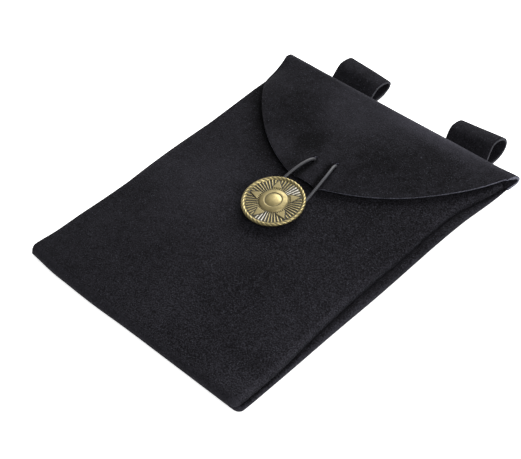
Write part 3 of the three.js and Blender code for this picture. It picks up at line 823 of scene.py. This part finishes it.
# The bight of each strap is pulled askew: how far its crown leans along Y from side to side, how much
# wider it spreads there, how far it moves in X and Y, and how far its right side droops
def belt_strap(name, node_name, middle, top, lean, spread, move, droop):
    line = strap_line(top)
    bm = bmesh.new()
    bmesh.ops.create_grid(bm, x_segments=STRAP_COLUMNS, y_segments=len(line) - 1, size=1.0)
    thinning = bm.verts.layers.deform.verify()
    nap_and_painted_light = bm.verts.layers.float.new("nap_and_light")
    standing = bm.verts.layers.float.new("grain")
    for vert in bm.verts:
        at = line[round((vert.co.y + 1) / 2 * (len(line) - 1))]
        out = vert.co.x
        free = smooth(at.x, *STRAP_FREE)
        raised = smooth(at.y, STRAP_LOW, top)
        wave = STRAP_WAVE * noise.noise((out * 1.3 + middle, at.x / 9, at.y / 3)) * free
        x = middle + out * (STRAP_WIDTH / 2 + spread * free) + move[0] * free * raised
        y = at.x + (lean * out + move[1]) * free
        height = at.y + wave - droop * max(out, 0.0) * raised * free
        vert.co = Vector((x, y, max(height, STRAP_LOW)))
        vert[thinning][0] = 1.0
        vert[nap_and_painted_light] = STRAP_NAP
        vert[standing] = STRAP_STAND
    bmesh.ops.scale(bm, vec=(MM, MM, MM), verts=bm.verts)
    bmesh.ops.translate(bm, vec=POUCH, verts=bm.verts)
    strap = new_piece(name, bm, suede, strap_edge)
    thicken(strap, STRAP, 0.0)
    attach(strap, "root")
    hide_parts(node_name)


belt_strap(
    "strap_left", "belt_loop_left", STRAP_MIDDLES[0], STRAP_TOPS[0],
    lean=-0.66, spread=0.78, move=(-0.08, 0.2), droop=0.8,
)
belt_strap(
    "strap_right", "belt_loop_right", STRAP_MIDDLES[1], STRAP_TOPS[1],
    lean=1.4, spread=-0.7, move=(-1.1, -0.4), droop=0.0,
)


# Strap stitches
# Two rows of thread across the sewn end of each strap, through the strap and the back panel.
# They lie on the strap's underside, sunk a little into the suede.
STITCH_ROWS = (131.5, 147.0)
STITCHES = 7
STITCH_SPAN = 0.4  # share of the strap's width, to each side of its middle
STITCH_HALF = Vector((1.15, 0.3, 0.2))
STITCH_HEIGHT = 0.22

bm = bmesh.new()
for middle in STRAP_MIDDLES:
    reach = STITCH_SPAN * STRAP_WIDTH
    for y in STITCH_ROWS:
        for x in evenly(middle - reach, middle + reach, STITCHES):
            place = Matrix.Translation(POUCH + Vector((x, y, STITCH_HEIGHT)) * MM)
            shape = Matrix.Diagonal((*STITCH_HALF, 1.0))
            bmesh.ops.create_uvsphere(bm, u_segments=10, v_segments=6, radius=MM, matrix=place @ shape)
thread, tree, shader = new_material("waxed_thread")
place = node(tree, "ShaderNodeTexCoord").outputs["Object"]
twist = node(tree, "ShaderNodeTexWave", Vector=place, Scale=900.0, Distortion=2.0)
colour = mix_colour(tree, twist.outputs["Fac"], (0.012, 0.012, 0.014), (0.035, 0.035, 0.04))
tree.links.new(colour, shader.inputs["Base Color"])
shader.inputs["Roughness"].default_value = 0.6
stitches = new_piece("strap_stitches", bm, thread)
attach(stitches, "root")


# Concho button
# A cast brass button with an antique finish: a rope rim, fine rays on a sunk field, five darts pointing out
# and a domed boss. Dark patina stays in the hollows. Its post goes through the front panel. Sizes in mm.
CONCHO_AT = Vector((2.15, 83.9, 13.5))
CONCHO_LEAN = Euler((math.radians(4.1), math.radians(3.5), 0.0))
CONCHO_STEPS = 500
RAYS = 50
RAY_HEIGHT = 0.28
RAY_LEVELS = (0.5, 0.3)  # level of the wave above which a ray stands, at its inner and its outer end
RAY_NARROWS = (6.5, 12)
RAY_SLOPE = 0.45
RAY_BEGINS = (6.3, 6.7)
RAY_ENDS = (11.8, 12.2)
TWISTS = 40
TWIST_LEAN = 1.5
TWIST_PUSH = 0.2
DARTS = 5
DART_FIRST = math.radians(50)
DART_TIP = 11.5
DART_LENGTH = 4.3
DART_HALF = 2.1
DART_HEIGHT = 0.45
DART_SLOPE = (-0.1, 0.1)
DART_BASE = (7.1, 7.3)
MOAT = (-0.65, -0.3)  # a moat runs round each dart
MOAT_BASE = (6.9, 7.1)
BAR_HALF = 2.2  # and a toothed bar lies under it
BAR_BASE = (6.3, 6.5)
TOOTH_PITCH = 0.84
TOOTH_SLOPE = (-0.2, 0.4)
FIELD = 1.3  # height of the sunk field, and its radii
FIELD_OUTER = 12.1
FIELD_INNER = 6.45
FIELD_RINGS = 36
BOSS_FOOT = 6.35
BOSS_GROOVE = (3.55, 3.9)  # a groove round the dome
DOME = 3.6
BEAD = Vector((13.05, 1.2))  # radius and height of the rope rim's middle
BEAD_RADIUS = 0.8
BEAD_INNER = 12.2
BEAD_TURN = (-75, -50, -25, 0, 20, 40, 60, 80, 100, 120, 145, 170)
UNDERSIDE = [(0.0, 0.0), (6.0, 0.0), (12.3, 0.0)]
BOSS = [
    (6.25, 1.6), (6.1, 1.85), (5.9, 2.0), (5.4, 2.14), (4.9, 2.26), (4.4, 2.35), (4.05, 2.38), (3.85, 2.32),
    (3.72, 2.2), (3.6, 2.2), (3.48, 2.3), (3.3, 2.42), (2.8, 2.58), (2.1, 2.72), (1.3, 2.82), (0.0, 2.88),
]
GLINT_SECTORS = ((72, 15), (-77, 12))  # middle and half-width of the sectors where the rays carry a painted pale reflection

# Profile from the middle of the underside, out round the rim and back over the face
outline = UNDERSIDE + turned(BEAD.x, BEAD.y, BEAD_RADIUS, *BEAD_TURN)
outline += [(radius, FIELD) for radius in evenly(FIELD_OUTER, FIELD_INNER, FIELD_RINGS)]
outline += BOSS

bm = bmesh.new()
corners = [bm.verts.new((radius, 0.0, height)) for radius, height in outline]
edges = [bm.edges.new(pair) for pair in zip(corners, corners[1:])]
bmesh.ops.spin(
    bm, geom=corners + edges, cent=(0, 0, 0), axis=(0, 0, 1), dvec=(0, 0, 0),
    angle=2 * math.pi, steps=CONCHO_STEPS, use_merge=True,
)
bmesh.ops.remove_doubles(bm, verts=bm.verts, dist=1e-4)
bmesh.ops.recalc_face_normals(bm, faces=bm.faces)


# How far a point of the field lies inside a dart, in its moat and on its toothed bar, and how far on a tooth
def dart_share(radius, turn):
    step = 2 * math.pi / DARTS
    off = (turn - DART_FIRST + step / 2) % step - step / 2
    along, beside = radius * math.cos(off), abs(radius * math.sin(off))
    edge = DART_HALF * (DART_TIP - along) / DART_LENGTH - beside
    inside = smooth(edge, *DART_SLOPE) * smooth(along, *DART_BASE)
    moat = smooth(edge, *MOAT) * smooth(along, *MOAT_BASE) * (1 - inside)
    tooth = smooth(math.cos(2 * math.pi * radius * math.sin(off) / TOOTH_PITCH), *TOOTH_SLOPE)
    base = smooth(BAR_HALF - beside, 0, 0.2) * (1 - smooth(along, *DART_BASE)) * smooth(along, *BAR_BASE)
    return inside, moat, base, tooth


# Relief says how bare of patina the metal is, from 0 to 1
DOME_BARE = 0.85
BOSS_BARE = 0.7
TWIST_BARE = (0.1, 0.95)
TWIST_SLOPE = (0.15, 0.75)
RAY_BARE = 0.85
DART_BARE = 0.6
GROOVE_BARE = 0.25
relief = bm.verts.layers.float.new("relief")
painted_highlight = bm.verts.layers.float.new("painted_highlight")
for vert in bm.verts:
    radius, height = math.hypot(vert.co.x, vert.co.y), vert.co.z
    turn = math.atan2(vert.co.y, vert.co.x)
    vert[relief] = DOME_BARE if radius < DOME else BOSS_BARE
    if radius > BEAD_INNER and height > 0.02:
        around = math.atan2(height - BEAD.y, radius - BEAD.x)
        strand = abs(math.sin(TWISTS / 2 * turn + TWIST_LEAN * around))
        flat = math.cos(around)
        outward = Vector((math.cos(turn) * flat, math.sin(turn) * flat, math.sin(around)))
        vert.co += outward * TWIST_PUSH * (strand**0.5 - 0.75)
        vert[relief] = mixed(*TWIST_BARE, smooth(strand, *TWIST_SLOPE))
    elif BOSS_FOOT < radius < BEAD_INNER and height > 0.5:
        level = mixed(*RAY_LEVELS, smooth(radius, *RAY_NARROWS))
        ray = smooth(math.cos(RAYS * turn), level - RAY_SLOPE, level + RAY_SLOPE)
        ray *= smooth(radius, *RAY_BEGINS) * (1 - smooth(radius, *RAY_ENDS))
        dart, moat, base, tooth = dart_share(radius, turn)
        ray = mixed(ray * (1 - moat), tooth, base)
        vert.co.z += mixed(RAY_HEIGHT * ray, DART_HEIGHT, dart)
        vert[relief] = mixed(RAY_BARE * ray, DART_BARE, dart)
        # Painted reflection: the rays in two sectors are made pale
        near = max(math.exp(-(((math.degrees(turn) - at) / half) ** 4)) for at, half in GLINT_SECTORS)
        vert[painted_highlight] = near * ray * (1 - dart) * (1 - base)
    elif BOSS_GROOVE[0] < radius < BOSS_GROOVE[1] and height > 2:
        vert[relief] = GROOVE_BARE

on_pouch = Matrix.Translation(POUCH + CONCHO_AT * MM) @ CONCHO_LEAN.to_matrix().to_4x4()
bmesh.ops.scale(bm, vec=(MM, MM, MM), verts=bm.verts)
bmesh.ops.transform(bm, matrix=on_pouch, verts=bm.verts)

brass, tree, shader = new_material("antique_brass")
place = node(tree, "ShaderNodeTexCoord").outputs["Object"]
raised = node(tree, "ShaderNodeAttribute", attribute_name="relief").outputs["Fac"]
glint_share = node(tree, "ShaderNodeAttribute", attribute_name="painted_highlight").outputs["Fac"]
blotch = node(tree, "ShaderNodeTexNoise", Vector=place, Scale=420.0, Detail=4.0, Roughness=0.6)
pits = node(tree, "ShaderNodeTexNoise", Vector=place, Scale=2200.0, Detail=2.0)
worn = weigh(tree, blotch.outputs["Fac"], 0.5, -0.25)
bare = node(tree, "ShaderNodeMath", operation="ADD", use_clamp=True)
tree.links.new(worn, bare.inputs[0])
tree.links.new(raised, bare.inputs[1])
metal = mix_colour(tree, blotch.outputs["Fac"], (0.29, 0.238, 0.10), (0.40, 0.33, 0.165))
# Painted reflection: pale metal on the rays of those sectors
metal = mix_colour(tree, glint_share, metal, (0.72, 0.69, 0.62))
colour = mix_colour(tree, bare.outputs[0], (0.055, 0.053, 0.045), metal)
tree.links.new(colour, shader.inputs["Base Color"])
rough = node(tree, "ShaderNodeMapRange", From_Min=0.65, From_Max=0.95, To_Min=0.58, To_Max=0.42)
tree.links.new(bare.outputs[0], rough.inputs["Value"])
tree.links.new(rough.outputs["Result"], shader.inputs["Roughness"])
shader.inputs["Metallic"].default_value = 1.0
bump = node(tree, "ShaderNodeBump", Strength=0.25, Distance=0.0001)
tree.links.new(pits.outputs["Fac"], bump.inputs["Height"])
tree.links.new(bump.outputs["Normal"], shader.inputs["Normal"])

concho = new_piece("concho", bm, brass)
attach(concho, "root")
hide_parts("concho_button")


# Button post
# A turned steel post with a flat head inside the pocket. It holds the button to the front panel, and the
# cord loop hooks round it. The solid's own shape is kept, with a brushed finish.
steel, tree, shader = new_material("brushed_steel")
place = node(tree, "ShaderNodeTexCoord").outputs["Object"]
lines = node(tree, "ShaderNodeTexNoise", Vector=place, Scale=900.0, Detail=3.0)
colour = mix_colour(tree, lines.outputs["Fac"], (0.30, 0.29, 0.27), (0.52, 0.51, 0.48))
tree.links.new(colour, shader.inputs["Base Color"])
rough = node(tree, "ShaderNodeMapRange", To_Min=0.3, To_Max=0.5)
tree.links.new(lines.outputs["Fac"], rough.inputs["Value"])
tree.links.new(rough.outputs["Result"], shader.inputs["Roughness"])
shader.inputs["Metallic"].default_value = 1.0
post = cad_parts["concho_post"]
post.data.materials.clear()
post.data.materials.append(steel)


# Closure cord
# A limp round cord, 1.3 mm thick and 101 mm long. Both ends come up through holes in the flap, and the loop
# goes over the flap's tip and round behind the button's post. Its ends are held under the flap. Sizes in mm.
CORD_DIAMETER = 1.3
CORD_ROUTE = [
    (-3.5, 119.9, 12), (-3.5, 118.5, 12), (-3.5, 117.1, 12.15), (-3.5, 116, 12.7),
    (-3.5, 115.2, 13.55), (-3.6, 114.5, 14.4), (-3.7, 113.6, 14.95), (-3.95, 112, 15.3),
    (-4.3, 109.8, 15.45), (-4.7, 107.2, 15.3), (-5.1, 104.3, 14.85), (-5.5, 101, 14.1),
    (-5.9, 97.6, 13), (-6.15, 93, 12), (-5.9, 87.5, 11.5), (-4.5, 82, 11.3),
    (-1.2, 78.1, 11.15), (2.8, 76.8, 11.1), (6.8, 78.2, 11.1), (9.5, 82.2, 11.2),
    (10.6, 87, 11.4), (10.8, 92, 11.9), (10.6, 96.6, 12.9), (10.3, 101.4, 14.3),
    (9.85, 105.8, 15.3), (9.2, 109.6, 15.8), (8.35, 112.9, 15.9), (7.5, 115.5, 15.5),
    (7, 116.95, 14.75), (6.7, 117.8, 13.8), (6.6, 118.6, 12.9), (6.6, 119.8, 12.35),
    (6.6, 121.2, 12.15), (6.6, 122.6, 12.15),
]
# Painted shade, darker and rougher towards both ends of the cord where it bends down into the holes: share of
# its length, and paleness there
CORD_END_SHADE = ((0.04, 0.0), (0.13, 0.4), (0.2, 0.8), (0.72, 1.0), (0.9, 0.75), (0.96, 0.4))

cord_line = bpy.data.curves.new("cord_loop", "CURVE")
cord_line.dimensions = "3D"
cord_line.bevel_depth = CORD_DIAMETER / 2 * MM
cord_line.bevel_resolution = 6
cord_line.resolution_u = 8
cord_line.use_fill_caps = True
route = cord_line.splines.new("BEZIER")
route.bezier_points.add(len(CORD_ROUTE) - 1)
for point, at in zip(route.bezier_points, CORD_ROUTE):
    point.co = POUCH + Vector(at) * MM
    point.handle_left_type = "AUTO"
    point.handle_right_type = "AUTO"

cord_finish, tree, shader = new_material("dark_cord")
place = node(tree, "ShaderNodeTexCoord").outputs["UV"]
braid = node(tree, "ShaderNodeTexWave", Vector=place, Scale=60.0, Distortion=1.0)
along = node(tree, "ShaderNodeSeparateXYZ", Vector=place)
end_shade = node(tree, "ShaderNodeValToRGB", Fac=along.outputs["X"])
end_shade.color_ramp.elements.remove(end_shade.color_ramp.elements[0])
for share, paleness in CORD_END_SHADE:
    end_shade.color_ramp.elements.new(share).color = (paleness, paleness, paleness, 1.0)
braided = mix_colour(tree, braid.outputs["Fac"], (0.020, 0.020, 0.024), (0.048, 0.048, 0.055))
# Painted shade: the cord is darker towards both ends
colour = mix_colour(tree, end_shade.outputs["Color"], (0.006, 0.006, 0.007), braided)
tree.links.new(colour, shader.inputs["Base Color"])
rough = node(tree, "ShaderNodeMapRange", To_Min=0.85, To_Max=0.5)
tree.links.new(end_shade.outputs["Color"], rough.inputs["Value"])
tree.links.new(rough.outputs["Result"], shader.inputs["Roughness"])
cord_line.materials.append(cord_finish)
cord = bpy.data.objects.new("cord_loop", cord_line)
bpy.context.scene.collection.objects.link(cord)
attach(cord, "root")
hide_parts("closure_cord")
